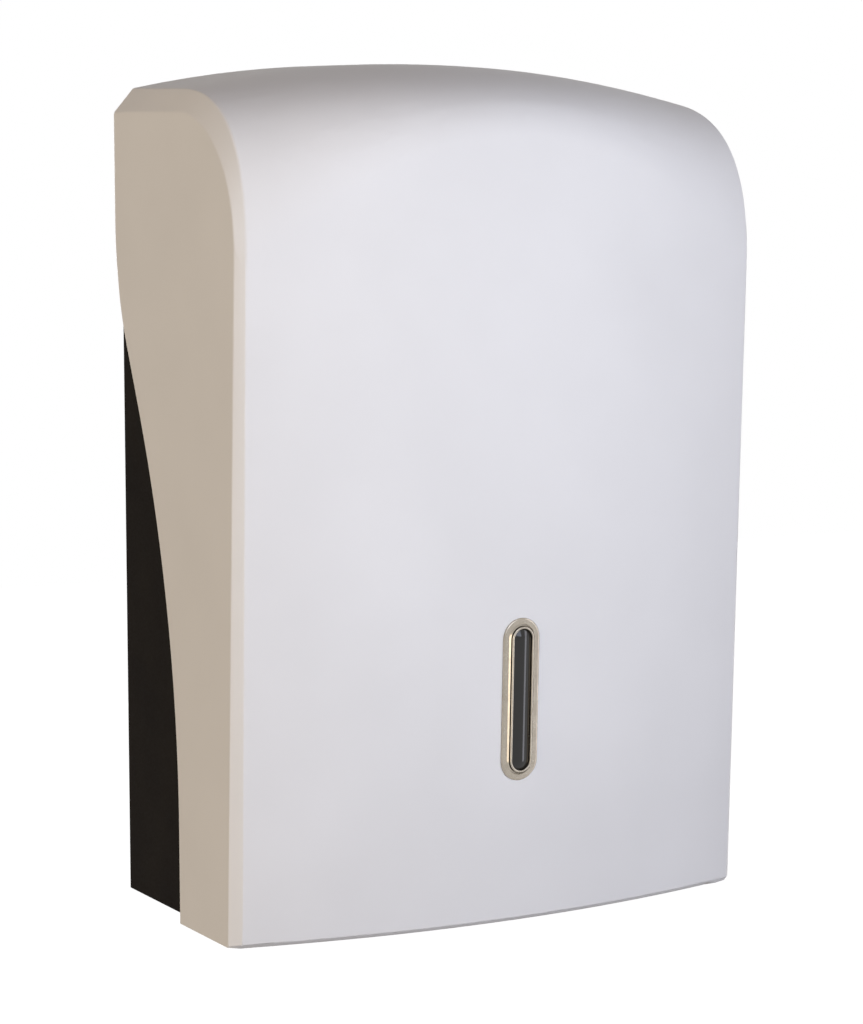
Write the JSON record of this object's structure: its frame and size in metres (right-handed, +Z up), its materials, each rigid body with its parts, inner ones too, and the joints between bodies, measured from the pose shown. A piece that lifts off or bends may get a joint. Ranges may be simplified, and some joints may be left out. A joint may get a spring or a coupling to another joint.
{
  "type": "folded paper towel dispenser",
  "caption": "Wall-mounted dispenser for folded paper hand towels: bowed white cover hinged at its foot, black wall chassis, oblong level window, quarter-turn roof lock.",
  "frame": {"origin": "centre of the four wall holes, on the back face that lies against the wall", "axes": "+Z up, +Y into the wall, -Y towards the room, +X to the right for someone who faces the dispenser"},
  "size_m": [0.288, 0.1611, 0.4223],
  "materials": {
    "cover_white": "semi-gloss white moulding",
    "chassis_black": "satin black moulding",
    "inner_grey": "light grey moulding",
    "bezel_plated": "warm bright plating on a moulding",
    "lens_smoked": "smoked clear acrylic",
    "screw_steel": "zinc-plated steel",
    "keeper_steel": "zinc-plated pressed steel",
    "lock_chrome": "chrome-plated die casting"
  },
  "bodies": {
    "chassis": {"back_chassis": "chassis_black", "towel_tray": "inner_grey", "throat_insert": "chassis_black", "tray_screws": "screw_steel", "left_towel_guide": "inner_grey", "right_towel_guide": "inner_grey", "guide_screws": "screw_steel", "hinge_pin_left": "screw_steel", "hinge_pin_right": "screw_steel", "lock_keeper": "keeper_steel", "keeper_screws": "screw_steel"},
    "cover": {"front_cover": "cover_white", "window_bezel": "bezel_plated", "window_lens": "lens_smoked", "window_retainer": "chassis_black", "hinge_arm_left": "chassis_black", "hinge_arm_right": "chassis_black", "hinge_arm_screws": "screw_steel", "lock_body": "lock_chrome", "lock_nut": "keeper_steel"},
    "lock": {"lock_plug": "lock_chrome", "lock_cam": "keeper_steel", "cam_screw": "screw_steel"}
  },
  "joints": [
    {"name": "cover_hinge", "type": "hinge", "parent": "chassis", "child": "cover", "pos_m": [0, -0.0824, -0.201], "axis": [1, 0, 0], "range_deg": [0, 95]},
    {"name": "key_turn", "type": "hinge", "parent": "cover", "child": "lock", "pos_m": [0, -0.019, 0.185], "axis": [0, 0, 1], "range_deg": [0, 90]}
  ]
}
